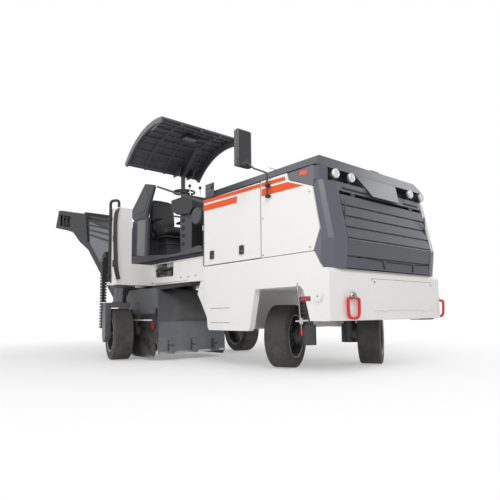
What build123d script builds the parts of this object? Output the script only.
from build123d import *
import os
from math import cos, hypot, radians, sin

os.makedirs("parts", exist_ok=True)

# Stations of the machine: X forward, Y to its left, Z up, millimetres
front_x = 3300.0  # front steering axes
wheelbase = 2980.0
rear_x = front_x - wheelbase
mid_y = 150.0  # middle plane of the body
body_half = 1111.0  # half the width of the body
body_rear_x = front_x - 1297.0  # rear face of the engine house
bulkhead_x = front_x + 660.0  # front face of the engine house
bumper_x = front_x + 957.0  # front face of the bumper
seam_z = 1345.0  # joint between lower body and engine house
house_top_z = 2281.0  # top edge of the white side panels
roof_height = 149.0
roof_half = 970.0  # half the width of the roof's top
panel_t = 40.0  # doors and side panels
panel_seam = 8.0  # open joint between white panels
seat_gap = 0.3  # between seated faces
run_gap = 0.05  # radial clearance of pins and shafts
move_gap = 6.0  # between pieces that move past each other

# Wheels and legs
tyre_r = 395.0
tyre_w = 281.0
tyre_t = 123.0  # rubber on the rim
rim_t = 16.0
rim_r = tyre_r - tyre_t
hub_bore_r = 60.0
kingpin_y = 426.0  # front steering axes from the middle
wheel_arm = 286.0  # steering axis to wheel centre
steer_right = 66.0  # right wheel as parked, turned to the right
steer_left = 60.0  # left wheel as parked
rear_right_y = -1545.0
rear_left_y = 946.0
steer_rear_right = 13.0
steer_rear_left = 6.0
leg_r = 80.0
rear_leg_r = 100.0

# Milling unit
drum_x = front_x - 2800.0
drum_z = 565.0
drum_right_y = -1250.0
drum_left_y = -50.0
tool_r = 490.0  # circle of the tool tips
tool_length = 90.0
drum_r = tool_r - tool_length
wall_t = 20.0
housing_front_x = drum_x + 545.0
housing_rear_x = drum_x - 600.0
housing_right_y = drum_right_y - 20.0
housing_left_y = drum_left_y + 20.0
housing_top_z = 1090.0
housing_low_z = 330.0

# Conveyor
slew_x = housing_rear_x - 220.0
conv_y = (housing_right_y + housing_left_y) / 2 + mid_y - 50.0
conv_half = 330.0
trunk_wall = 16.0
lift_x = slew_x - 180.0
lift_z = 900.0

# Lower body
deck_bottom_z = 1160.0
deck_top_z = 1500.0
deck_half = body_half - 71.0
deck_rear_x = front_x - 3450.0
sill_z = seam_z - 15.0
arch_top_z = 975.0
belly_z = 480.0
skirt_t = 86.0
inner_half = body_half - skirt_t - seat_gap
skirt_bottom_z = 470.0
tank_foot_x = front_x - 1193.0
arch_rear_foot_x = front_x - 317.0
arch_rear_x = front_x - 206.0
arch_front_x = front_x + 542.0
arch_front_foot_x = front_x + 680.0
bumper_bottom_z = 593.0
bumper_top_z = 1150.0
bumper_depth = 197.0
bumper_rear_x = bumper_x - bumper_depth
tunnel_rear_x = front_x - 660.0
tunnel_front_x = front_x + 640.0
column_side = 257.0
column_top_z = 2390.0
lift_stroke = 180.0  # free height above the legs in their bores
slew_pin_r = 45.0
slew_lug_r = 110.0
slew_lug_t = 60.0
slew_low_z = 1180.0
slew_hub_h = 168.0
slew_high_z = slew_low_z + slew_lug_t + slew_hub_h + 2 * move_gap
floor_z = 1590.0

# Main frame: deck over the milling unit, tank block, front carrier and rear columns
recess_rear_x = front_x - 2740.0
recess_width = 540.0
recess_depth = 420.0
recess_floor_z = 1280.0
hose_arm_y = rear_right_y + mid_y + 65.0
hose_arm_z = 1200.0
hose_arm_t = 40.0
hose_arm_reach = 650.0
with BuildPart() as main_frame:
    with BuildSketch(Plane.XY.offset(deck_bottom_z)):
        with Locations((deck_rear_x, mid_y)):
            Rectangle(body_rear_x - deck_rear_x, 2 * deck_half, align=(Align.MIN, Align.CENTER))
    extrude(amount=deck_top_z - deck_bottom_z)
    with BuildSketch(Plane.XY.offset(recess_floor_z)):
        with Locations((recess_rear_x, mid_y - deck_half - 1.0)):
            Rectangle(recess_width, recess_depth + 1.0, align=(Align.MIN, Align.MIN))
    extrude(amount=deck_top_z - recess_floor_z + 1.0, mode=Mode.SUBTRACT)
    with BuildSketch(Plane.XY.offset(recess_floor_z)):
        with Locations((recess_rear_x + recess_width / 2, mid_y - deck_half + 240.0)):
            Circle(170.0)
    extrude(amount=deck_top_z - recess_floor_z)
    with BuildSketch(Plane.XZ.offset(-mid_y - inner_half)):
        with BuildLine():
            Polyline(
                (body_rear_x - 183.0, deck_bottom_z),
                (body_rear_x - 263.0, arch_top_z),
                (body_rear_x - 153.0, arch_top_z - 155.0),
                (tank_foot_x - 35.0, belly_z),
                (tunnel_rear_x, belly_z),
                (tunnel_rear_x, arch_top_z),
                (tunnel_front_x, arch_top_z),
                (tunnel_front_x, bumper_bottom_z + 27.0),
                (bumper_rear_x - seat_gap, bumper_bottom_z + 27.0),
                (bumper_rear_x - seat_gap, bumper_top_z - 45.0),
                (bulkhead_x, bumper_top_z - 45.0),
                (bulkhead_x, sill_z),
                (body_rear_x, sill_z),
                (body_rear_x, deck_top_z),
                (body_rear_x - 183.0, deck_top_z),
                close=True,
            )
        make_face()
    extrude(amount=2 * inner_half)
    with BuildSketch(Plane.XY.offset(deck_bottom_z)):
        with Locations((rear_x, mid_y + rear_right_y)):
            Rectangle(column_side, column_side)
    extrude(amount=column_top_z - deck_bottom_z)
    with BuildSketch(Plane.XY.offset(deck_bottom_z)):
        with Locations((rear_x, mid_y + rear_right_y)):
            Rectangle(column_side, 10.0 - rear_right_y - deck_half, align=(Align.CENTER, Align.MIN))
        with Locations((rear_x, mid_y + rear_left_y)):
            Rectangle(column_side, column_side)
    extrude(amount=deck_top_z - deck_bottom_z)
    with BuildSketch(Plane.XY.offset(deck_bottom_z - 1.0)):
        with Locations((rear_x, mid_y + rear_right_y)):
            Circle(rear_leg_r + run_gap)
    extrude(amount=column_top_z - deck_bottom_z - 100.0, mode=Mode.SUBTRACT)
    with BuildSketch(Plane.XY.offset(deck_bottom_z - 1.0)):
        with Locations((rear_x, mid_y + rear_left_y)):
            Circle(rear_leg_r + run_gap)
    extrude(amount=deck_top_z - deck_bottom_z + 2.0, mode=Mode.SUBTRACT)
    with BuildSketch(Plane.XY.offset(arch_top_z - 95.0)):
        with Locations((front_x, mid_y - kingpin_y), (front_x, mid_y + kingpin_y)):
            Circle(leg_r + 30.0)
    extrude(amount=100.0)
    with BuildSketch(Plane.XY.offset(arch_top_z - 96.0)):
        with Locations((front_x, mid_y - kingpin_y), (front_x, mid_y + kingpin_y)):
            Circle(leg_r + run_gap)
    extrude(amount=sill_z - arch_top_z + 97.0, mode=Mode.SUBTRACT)
    for z in (slew_low_z, slew_high_z):
        with BuildSketch(Plane.XY.offset(z)):
            with Locations((slew_x, conv_y)):
                Circle(slew_lug_r)
                Rectangle(deck_rear_x - slew_x + 50.0, 2 * slew_lug_r, align=(Align.MIN, Align.CENTER))
        extrude(amount=slew_lug_t)
    with BuildSketch(Plane.XY.offset(slew_low_z - 1.0)):
        with Locations((slew_x, conv_y)):
            Circle(slew_pin_r + run_gap)
    extrude(amount=slew_high_z + slew_lug_t - slew_low_z + 2.0, mode=Mode.SUBTRACT)
    with BuildSketch(Plane.XY.offset(hose_arm_z)):
        with Locations((rear_x - column_side / 2 + 10.0, hose_arm_y)):
            Rectangle(hose_arm_reach, 110.0, align=(Align.MAX, Align.CENTER))
    extrude(amount=hose_arm_t)
main_frame.part.label = "main_frame"
export_step(main_frame.part, "parts/main_frame.step")

# Hoses of the right rear column: one over its top, a bundle behind it
hose_r = 22.0
bundle_r = 40.0
hose_x = rear_x - 70.0
hose_y = mid_y + rear_right_y - column_side / 2 - hose_r - seat_gap
hose_top_z = column_top_z + 130.0
bundle_top_z = 1750.0
bundle_x = rear_x - column_side / 2 - bundle_r - 20.0
bundle_span = 490.0
with BuildPart() as column_hoses:
    with BuildLine() as hose_route:
        FilletPolyline(
            (hose_x, hose_y, 1215.0),
            (hose_x, hose_y, hose_top_z),
            (hose_x + 130.0, hose_y + hose_r + 60.0, hose_top_z),
            (hose_x + 130.0, hose_y + hose_r + 60.0, column_top_z),
            radius=50.0,
        )
    with BuildSketch(Plane(origin=hose_route.line @ 0, z_dir=hose_route.line % 0)):
        Circle(hose_r)
    sweep(path=hose_route.line)
    with BuildLine() as bundle_route:
        FilletPolyline(
            (bundle_x, hose_arm_y, hose_arm_z + hose_arm_t),
            (bundle_x, hose_arm_y, bundle_top_z),
            (bundle_x - bundle_span, hose_arm_y, bundle_top_z),
            (bundle_x - bundle_span, hose_arm_y, hose_arm_z + hose_arm_t),
            radius=200.0,
        )
    with BuildSketch(Plane(origin=bundle_route.line @ 0, z_dir=bundle_route.line % 0)):
        Circle(bundle_r)
    sweep(path=bundle_route.line)
    for z in (1300.0, 2200.0):
        with BuildSketch(Plane.XY.offset(z)):
            with Locations((hose_x, hose_y)):
                Rectangle(2 * hose_r + 16.0, 2 * hose_r)
        extrude(amount=40.0)
column_hoses.part.label = "column_hoses"
export_step(column_hoses.part, "parts/column_hoses.step")

# Hoses clipped under the right edge of the deck
deck_hose_r = 26.0
deck_hose_z = deck_bottom_z - deck_hose_r - seat_gap
deck_hose_y = mid_y - deck_half + deck_hose_r + 4.0
with BuildPart() as deck_hoses:
    for k in range(2):
        with BuildLine() as deck_route:
            FilletPolyline(
                (deck_rear_x + 20.0, deck_hose_y + 120.0 + 60.0 * k, deck_hose_z),
                (deck_rear_x + 520.0, deck_hose_y + 58.0 * k, deck_hose_z),
                (body_rear_x - 560.0, deck_hose_y + 58.0 * k, deck_hose_z),
                (body_rear_x - 270.0, deck_hose_y + 100.0 + 60.0 * k, deck_hose_z),
                radius=120.0,
            )
        with BuildSketch(Plane(origin=deck_route.line @ 0, z_dir=deck_route.line % 0)):
            Circle(deck_hose_r)
        sweep(path=deck_route.line)
deck_hoses.part.label = "deck_hoses"
export_step(deck_hoses.part, "parts/deck_hoses.step")

# Lower side panels with the wheel openings and the wedges beside the nose
with BuildPart() as side_skirts:
    with BuildSketch(Plane.XZ.offset(-mid_y - body_half)):
        with BuildLine():
            Polyline(
                (body_rear_x, seam_z - panel_seam),
                (tank_foot_x, skirt_bottom_z + 40.0),
                (tank_foot_x + 30.0, skirt_bottom_z),
                (arch_rear_foot_x - 30.0, skirt_bottom_z),
                (arch_rear_foot_x, skirt_bottom_z + 30.0),
                (arch_rear_x, arch_top_z),
                (arch_front_x, arch_top_z),
                (arch_front_x + 48.0, arch_top_z - 45.0),
                (arch_front_foot_x, bumper_bottom_z),
                (bumper_rear_x - seat_gap, bumper_bottom_z),
                (bumper_rear_x - seat_gap, bumper_top_z + seat_gap),
                (bumper_rear_x + 104.0, bumper_top_z + seat_gap),
                (bumper_rear_x - 2.0, seam_z - panel_seam),
                close=True,
            )
        make_face()
    extrude(amount=skirt_t)
    mirror(about=Plane.XZ.offset(-mid_y))
side_skirts.part.label = "side_skirts"
export_step(side_skirts.part, "parts/side_skirts.step")

# Bumper with its bare centre plate and the bosses of the tow links
plate_y = 278.0
plate_z = 868.0
plate_w = 1333.0
plate_h = 325.0
link_y = -760.0
link_z = 855.0
link_pin_r = 30.0
boss_r = 46.0
boss_h = 14.0
side_boss_x = front_x + 813.0
side_link_x = bumper_x - 60.0
with BuildPart() as front_bumper:
    with BuildSketch(Plane.XZ.offset(-mid_y - body_half)):
        with BuildLine():
            Polyline(
                (bumper_rear_x, bumper_bottom_z),
                (bumper_x - 12.0, bumper_bottom_z),
                (bumper_x, bumper_bottom_z + 12.0),
                (bumper_x, bumper_top_z - 42.0),
                (bumper_x - 24.0, bumper_top_z),
                (bumper_rear_x, bumper_top_z),
                close=True,
            )
        make_face()
    extrude(amount=2 * body_half)
    with BuildSketch(Plane.YZ.offset(bumper_x)):
        with Locations((mid_y + plate_y, plate_z)):
            RectangleRounded(plate_w, plate_h, 20.0)
    extrude(amount=8.0)
    with BuildSketch(Plane.YZ.offset(bumper_x)):
        with Locations((mid_y + link_y, link_z)):
            Circle(boss_r)
    extrude(amount=boss_h)
    with BuildSketch(Plane.XZ.offset(-mid_y + body_half)):
        with Locations((side_boss_x, link_z)):
            Circle(boss_r)
            Circle(link_pin_r / 2, mode=Mode.SUBTRACT)
    extrude(amount=2 * boss_h)
    with BuildSketch(Plane.XZ.offset(-mid_y - body_half)):
        with Locations((side_link_x, link_z)):
            Circle(boss_r)
    extrude(amount=-boss_h)
front_bumper.part.label = "front_bumper"
export_step(front_bumper.part, "parts/front_bumper.step")

# Tow links: oval rings on headed pins, one in front, one on the left
link_t = 26.0
link_w = 180.0
link_h = 215.0
link_bar = 30.0
front_link = Plane.YZ.offset(bumper_x + boss_h + seat_gap)
left_link = Plane.XZ.offset(-mid_y - body_half - boss_h - seat_gap)
link_table = (
    (front_link, 1.0, mid_y + link_y),
    (left_link, -1.0, side_link_x),
)
with BuildPart() as tow_links:
    for face, out, along in link_table:
        with BuildSketch(face):
            with Locations((along, link_z)):
                Circle(link_pin_r)
        extrude(amount=out * (link_t + 16.0))
        with BuildSketch(face.offset(out * (link_t + 6.0))):
            with Locations((along, link_z)):
                Circle(link_pin_r + 10.0)
        extrude(amount=out * 10.0)
        with BuildSketch(face.offset(out * 3.0)):
            with Locations((along, link_z)):
                Circle(link_pin_r + 18.0)
            with Locations((along, link_z - link_h / 2 - link_pin_r)):
                RectangleRounded(link_w, link_h, 70.0)
                RectangleRounded(link_w - 2 * link_bar, link_h - 2 * link_bar, 42.0, mode=Mode.SUBTRACT)
        extrude(amount=out * link_t)
tow_links.part.label = "tow_links"
export_step(tow_links.part, "parts/tow_links.step")

# Engine house: bulkheads, sill and roof plate that carry panels and doors
house_seat_z = house_top_z + 3.0
house_plate_t = 54.0
door_line_x = front_x - 75.0
door_pin_r = 6.0
door_axis_y = body_half - 16.0
door_axis_z = house_top_z - 19.0
carrier_half = body_half - panel_t - seat_gap
door_inner_half = body_half - panel_t - move_gap
gate_pin_x = body_rear_x - 48.0
gate_pin_y = mid_y - body_half + 55.0
gate_pin_r = 10.0
gate_low_z = house_top_z - 110.0
bulkhead_table = (
    # start, thickness, half width
    (body_rear_x, 20.0, body_half - 2.0),
    (door_line_x - 17.0, 22.0, carrier_half),
    (bulkhead_x - 60.0, 60.0, carrier_half),
)
with BuildPart() as engine_house:
    for start, depth, half in bulkhead_table:
        with BuildSketch(Plane.YZ.offset(start)):
            with Locations((mid_y, seam_z)):
                Rectangle(2 * half, house_seat_z - seam_z, align=(Align.CENTER, Align.MIN))
            with Locations((mid_y, sill_z)):
                Rectangle(2 * inner_half, house_seat_z - sill_z - 60.0, align=(Align.CENTER, Align.MIN))
        extrude(amount=depth)
    with BuildSketch(Plane.YZ.offset(door_line_x - 18.0)):
        with Locations((mid_y, sill_z + 14.0)):
            Rectangle(2 * inner_half - 100.0, house_seat_z - house_plate_t - sill_z - 14.0, align=(Align.CENTER, Align.MIN))
    extrude(amount=24.0, mode=Mode.SUBTRACT)
    with BuildSketch(Plane.XY.offset(sill_z)):
        with Locations((body_rear_x, mid_y)):
            Rectangle(bulkhead_x - body_rear_x, 2 * inner_half, align=(Align.MIN, Align.CENTER))
    extrude(amount=14.0)
    with BuildSketch(Plane.XY.offset(house_seat_z - house_plate_t)):
        with Locations((body_rear_x, mid_y)):
            Rectangle(bulkhead_x - body_rear_x, 2 * door_inner_half, align=(Align.MIN, Align.CENTER))
    extrude(amount=house_plate_t)
    for z in (gate_low_z, gate_low_z + 60.0):
        with BuildSketch(Plane.XY.offset(z)):
            with Locations((gate_pin_x, gate_pin_y)):
                Circle(26.0)
                Rectangle(body_rear_x - gate_pin_x, 52.0, align=(Align.MIN, Align.CENTER))
                Circle(gate_pin_r + run_gap, mode=Mode.SUBTRACT)
        extrude(amount=20.0)
    with BuildSketch(Plane.YZ.offset(body_rear_x - 3.0)):
        with Locations((mid_y - door_axis_y, door_axis_z), (mid_y + door_axis_y, door_axis_z)):
            Circle(door_pin_r + run_gap)
    extrude(amount=door_line_x - body_rear_x + 10.0, mode=Mode.SUBTRACT)
engine_house.part.label = "engine_house"
export_step(engine_house.part, "parts/engine_house.step")

# Engine with its cooler as one plain block
engine_length = 1250.0
engine_width = 900.0
engine_height = 700.0
with BuildPart() as engine_block:
    with BuildSketch(Plane.XY.offset(sill_z + 14.0)):
        with Locations(((body_rear_x + bulkhead_x) / 2, mid_y)):
            Rectangle(engine_length, engine_width)
    extrude(amount=engine_height)
engine_block.part.label = "engine_block"
export_step(engine_block.part, "parts/engine_block.step")

# Fixed side panels ahead of the doors, stepped and pointed towards the nose
panel_fore = (
    # X ahead of the steering axes, Z
    (752.0, 1355.0),
    (843.0, 1574.0),
    (752.0, 2050.0),
    (394.0, 2192.0),
    (373.0, house_top_z),
)
with BuildPart() as front_panels:
    with BuildSketch(Plane.XZ.offset(-mid_y - body_half)):
        with BuildLine():
            Polyline(
                (door_line_x, house_top_z),
                (door_line_x, seam_z),
                (front_x + panel_fore[0][0] - 6.0, seam_z),
                *[(front_x + x, z) for x, z in panel_fore],
                close=True,
            )
        make_face()
    extrude(amount=panel_t)
    mirror(about=Plane.XZ.offset(-mid_y))
front_panels.part.label = "front_panels"
export_step(front_panels.part, "parts/front_panels.step")

# Side doors, hung along their top edges
door_rear_x = body_rear_x + 20.0 + move_gap
latch_table = (216.0, 847.0)  # latches behind the body's rear face
latch_z = seam_z + 137.0
for name, side in (("door_right", -1.0), ("door_left", 1.0)):
    with BuildPart() as door:
        with BuildSketch(Plane.XZ.offset(-mid_y - side * (body_half - panel_t / 2) - panel_t / 2)):
            with Locations((door_rear_x, seam_z + move_gap)):
                Rectangle(
                    door_line_x - 17.0 - move_gap - door_rear_x,
                    house_top_z - seam_z - 2 * move_gap,
                    align=(Align.MIN, Align.MIN),
                )
        extrude(amount=panel_t)
        with BuildSketch(Plane.YZ.offset(body_rear_x + 4.0)):
            with Locations((mid_y + side * door_axis_y, door_axis_z)):
                Circle(door_pin_r)
        extrude(amount=door_line_x - body_rear_x - 4.0)
        with BuildSketch(Plane.XZ.offset(-mid_y - side * (body_half + 7.0) - 7.0)):
            for reach in latch_table:
                with Locations((body_rear_x + reach, latch_z)):
                    RectangleRounded(60.0, 90.0, 10.0)
        extrude(amount=14.0)
    door.part.label = name
    export_step(door.part, "parts/" + name + ".step")

# Nose frame: corner pillars and header around the front cover, with the shelf of the lamps
nose_low_z = bumper_top_z + seat_gap
knee_z = 1460.0
shelf_z = 2120.0
nose_low_x = front_x + 975.0
nose_knee_x = front_x + 1010.0
nose_shelf_x = front_x + 880.0
cover_half = 840.0
pillar_half = body_half - 11.0
pillar_table = (
    # half width, set back from the face
    (pillar_half, 150.0),
    (pillar_half - 35.0, 85.0),
    (pillar_half - 80.0, 45.0),
    (pillar_half - 150.0, 18.0),
    (pillar_half - 235.0, 0.0),
)
header_z = shelf_z - 104.0
nose_slope = (nose_knee_x - nose_shelf_x) / (shelf_z - knee_z)
cover_axis_z = header_z - 24.0
cover_axis_x = nose_shelf_x + nose_slope * (shelf_z - cover_axis_z) - 8.0
cover_pin_r = 6.0
cover_hinge_y = 600.0
nose_wall = 45.0
tower_half = 950.0  # inner face of the pillars above the shelf
with BuildPart() as nose_frame:
    for z, face_x in ((nose_low_z, nose_low_x), (knee_z, nose_knee_x), (shelf_z, nose_shelf_x)):
        with BuildSketch(Plane.XY.offset(z)):
            with BuildLine():
                Polyline(
                    (bulkhead_x + seat_gap, mid_y + pillar_half),
                    *[(face_x - back, mid_y + half) for half, back in pillar_table],
                    *[(face_x - back, mid_y - half) for half, back in reversed(pillar_table)],
                    (bulkhead_x + seat_gap, mid_y - pillar_half),
                    close=True,
                )
            make_face()
    loft(ruled=True)
    with BuildSketch(Plane.XY.offset(nose_low_z - 1.0)):
        with Locations((bulkhead_x - 1.0, mid_y)):
            Rectangle(600.0, 2 * (cover_half + move_gap), align=(Align.MIN, Align.CENTER))
    extrude(amount=header_z - nose_low_z + 1.0, mode=Mode.SUBTRACT)
    with BuildSketch(Plane.XY.offset(nose_low_z + nose_wall)):
        with Locations((bulkhead_x - 1.0, mid_y)):
            Rectangle(
                nose_shelf_x - 150.0 - bulkhead_x,
                2 * (carrier_half - nose_wall),
                align=(Align.MIN, Align.CENTER),
            )
    extrude(amount=header_z - nose_low_z - nose_wall, mode=Mode.SUBTRACT)
    for side in (-1.0, 1.0):
        with BuildSketch(Plane.XY.offset(shelf_z)):
            with BuildLine():
                Polyline(
                    (bulkhead_x + seat_gap, mid_y + side * tower_half),
                    (nose_shelf_x - 38.0, mid_y + side * tower_half),
                    (nose_shelf_x - 75.0, mid_y + side * (pillar_half - 45.0)),
                    (nose_shelf_x - 110.0, mid_y + side * pillar_half),
                    (bulkhead_x + seat_gap, mid_y + side * pillar_half),
                    close=True,
                )
            make_face()
        extrude(amount=house_seat_z - shelf_z)
        with BuildSketch(Plane.XZ.offset(-mid_y - side * (body_half + carrier_half) / 2 - panel_t / 2)):
            with BuildLine():
                Polyline(
                    (front_x + panel_fore[0][0] + 5.0, seam_z - 8.0 - panel_seam),
                    *[(front_x + x + 5.0, z + (0.0 if z < 2000.0 else 5.0)) for x, z in panel_fore[:3]],
                    (front_x + panel_fore[3][0] + 5.0, panel_fore[3][1] + 5.0),
                    (front_x + panel_fore[3][0] - 10.0, seam_z - 8.0 - panel_seam),
                    close=True,
                )
            make_face()
        extrude(amount=panel_t, mode=Mode.SUBTRACT)
        with BuildSketch(Plane.XZ.offset(-mid_y - side * (pillar_half + carrier_half) / 2 - (pillar_half - carrier_half) / 2)):
            with BuildLine():
                Polyline(
                    (front_x + panel_fore[4][0] + 5.0, house_seat_z),
                    (front_x + panel_fore[3][0] + 5.0, panel_fore[3][1] + 5.0),
                    (front_x + panel_fore[2][0] + 5.0, panel_fore[2][1] + 5.0),
                    (nose_shelf_x - 115.0, shelf_z),
                    (nose_shelf_x - 115.0, house_seat_z),
                    close=True,
                )
            make_face()
        extrude(amount=pillar_half - carrier_half - seat_gap)
    for side in (-1.0, 1.0):
        with BuildSketch(Plane.XZ.offset(-mid_y - side * (body_half - skirt_t / 2) - skirt_t / 2 - 2.0)):
            with BuildLine():
                Polyline(
                    (bulkhead_x - 2.0, nose_low_z - 2.0),
                    (bumper_rear_x + 112.0, nose_low_z - 2.0),
                    (bumper_rear_x + 4.0, seam_z - 4.0),
                    (bulkhead_x - 2.0, seam_z - 4.0),
                    close=True,
                )
            make_face()
        extrude(amount=skirt_t + 4.0, mode=Mode.SUBTRACT)
    for y in (-cover_hinge_y, cover_hinge_y):
        for ear in (-22.0, 22.0):
            with BuildSketch(Plane.XZ.offset(-mid_y - y - ear - 6.0)):
                with Locations((cover_axis_x, cover_axis_z)):
                    Circle(11.0)
                    Rectangle(22.0, header_z - cover_axis_z + 2.0, align=(Align.CENTER, Align.MIN))
                    Circle(cover_pin_r + run_gap, mode=Mode.SUBTRACT)
            extrude(amount=12.0)
nose_frame.part.label = "nose_frame"
export_step(nose_frame.part, "parts/nose_frame.step")

# Louvred front cover, hinged along its top edge
louvre_count = 5
louvre_step = 16.0
cover_t = 60.0
cover_top_z = cover_axis_z - 18.0
cover_low_z = bumper_top_z + move_gap + 2.0
slot_z = 1275.0
first_louvre_z = cover_top_z - 115.0
louvre_pitch = (first_louvre_z - knee_z - 24.0) / (louvre_count - 2)
with BuildPart() as front_cover:
    with BuildSketch(Plane.XZ.offset(-mid_y - cover_half)):
        with BuildLine():
            louvre_line = [(nose_shelf_x + nose_slope * (shelf_z - cover_top_z), cover_top_z)]
            for k in range(louvre_count - 1):
                z = first_louvre_z - louvre_pitch * k
                x = nose_shelf_x + nose_slope * (shelf_z - z)
                louvre_line.append((x + 4.0, z))
                louvre_line.append((x - louvre_step, z - 2.0))
                louvre_line.append((x - louvre_step, z - 14.0))
                louvre_line.append((x, z - 16.0))
            Polyline(
                *louvre_line,
                (nose_knee_x, knee_z),
                (nose_low_x + 8.0, slot_z + 16.0),
                (nose_low_x - 14.0, slot_z + 14.0),
                (nose_low_x - 14.0, slot_z),
                (nose_low_x + 6.0, slot_z - 2.0),
                (nose_low_x, cover_low_z),
                (nose_low_x - cover_t, cover_low_z),
                (nose_knee_x - cover_t, knee_z),
                (nose_shelf_x + nose_slope * (shelf_z - cover_top_z) - cover_t, cover_top_z),
                close=True,
            )
        make_face()
    extrude(amount=2 * cover_half)
    for y in (-cover_hinge_y, cover_hinge_y):
        with BuildSketch(Plane.XZ.offset(-mid_y - y - 28.0)):
            with Locations((cover_axis_x, cover_axis_z)):
                Circle(cover_pin_r)
        extrude(amount=56.0)
        with BuildSketch(Plane.XZ.offset(-mid_y - y - 13.0)):
            with Locations((cover_axis_x, cover_axis_z)):
                Circle(11.0)
                Rectangle(22.0, cover_axis_z - cover_top_z + 4.0, align=(Align.CENTER, Align.MAX))
        extrude(amount=26.0)
front_cover.part.label = "front_cover"
export_step(front_cover.part, "parts/front_cover.step")

# Roof of the engine house, with the visor and its tongue over the lamps
roof_z = house_top_z + roof_height
roof_low_z = house_seat_z + 6.0
visor_x = front_x + 805.0
visor_top_x = front_x + 742.0
tongue_top_half = 425.0
tongue_low_half = 270.0
tongue_x = front_x + 945.0
tongue_z = header_z + 6.0
with BuildPart() as hood_roof:
    with BuildSketch(Plane.YZ.offset(body_rear_x)):
        with BuildLine():
            Polyline(
                (mid_y - body_half, roof_low_z),
                (mid_y + body_half, roof_low_z),
                (mid_y + roof_half, roof_z),
                (mid_y - roof_half, roof_z),
                close=True,
            )
        make_face()
    extrude(amount=visor_x - body_rear_x)
    with BuildSketch(Plane.XY.offset(house_seat_z)):
        with Locations((body_rear_x, mid_y)):
            Rectangle(bulkhead_x - body_rear_x, 2 * door_inner_half - 100.0, align=(Align.MIN, Align.CENTER))
    extrude(amount=roof_low_z - house_seat_z)
    with BuildSketch(Plane.XZ.offset(-mid_y - body_half - 1.0)):
        with BuildLine():
            Polyline(
                (visor_x, roof_low_z - 1.0),
                (visor_x, roof_z + 1.0),
                (visor_top_x, roof_z + 1.0),
                (visor_top_x, roof_z),
                close=True,
            )
        make_face()
    extrude(amount=2 * body_half + 2.0, mode=Mode.SUBTRACT)
    with BuildSketch(Plane.XZ.offset(-mid_y - tongue_top_half)):
        with BuildLine():
            Polyline(
                (visor_top_x - 40.0, roof_low_z + 4.0),
                (visor_x - 4.0, roof_low_z + 4.0),
                (tongue_x, tongue_z),
                (tongue_x - 22.0, tongue_z),
                (nose_shelf_x + 3.0, shelf_z + seat_gap),
                (visor_top_x - 40.0, shelf_z + seat_gap),
                close=True,
            )
        make_face()
    extrude(amount=2 * tongue_top_half)
    for side in (-1.0, 1.0):
        with BuildSketch(Plane.YZ.offset(visor_top_x - 41.0)):
            with BuildLine():
                Polyline(
                    (mid_y + side * tongue_top_half, roof_low_z),
                    (mid_y + side * tongue_low_half, tongue_z - 1.0),
                    (mid_y + side * (tongue_top_half + 1.0), tongue_z - 1.0),
                    (mid_y + side * (tongue_top_half + 1.0), roof_low_z),
                    close=True,
                )
            make_face()
        extrude(amount=tongue_x - visor_top_x + 60.0, mode=Mode.SUBTRACT)
hood_roof.part.label = "hood_roof"
export_step(hood_roof.part, "parts/hood_roof.step")

# Work lights on the shelf under the visor
lamp_r = 42.0
lamp_z = shelf_z + 76.0
with BuildPart() as work_lights:
    for y in (-885.0, -610.0, 610.0, 885.0):
        with BuildSketch(Plane.XY.offset(shelf_z)):
            with Locations((nose_shelf_x - 50.0, mid_y + y)):
                RectangleRounded(60.0, 50.0, 10.0)
        extrude(amount=lamp_z - shelf_z)
        with BuildSketch(Plane.YZ.offset(nose_shelf_x - 30.0)):
            with Locations((mid_y + y, lamp_z)):
                Circle(lamp_r)
        extrude(amount=56.0)
work_lights.part.label = "work_lights"
export_step(work_lights.part, "parts/work_lights.step")

# Pierced plate with a lamp on the rear right corner of the roof
lamp_plate_x = body_rear_x + 8.0
lamp_plate_t = 8.0
with BuildPart() as lamp_plate:
    with BuildSketch(Plane.XZ.offset(-mid_y + body_half - 40.0)):
        with Locations((lamp_plate_x, roof_low_z)):
            Rectangle(200.0, 215.0, align=(Align.MIN, Align.MIN))
        with Locations((lamp_plate_x + 70.0, roof_low_z + 120.0)):
            with GridLocations(45.0, 55.0, 3, 3):
                Circle(9.0, mode=Mode.SUBTRACT)
    extrude(amount=lamp_plate_t)
    with BuildSketch(Plane.XZ.offset(-mid_y + body_half - 40.0 + lamp_plate_t)):
        with Locations((lamp_plate_x + 160.0, roof_low_z + 160.0)):
            Circle(30.0)
    extrude(amount=34.0)
    add(hood_roof.part, mode=Mode.SUBTRACT)
lamp_plate.part.label = "lamp_plate"
export_step(lamp_plate.part, "parts/lamp_plate.step")

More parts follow.
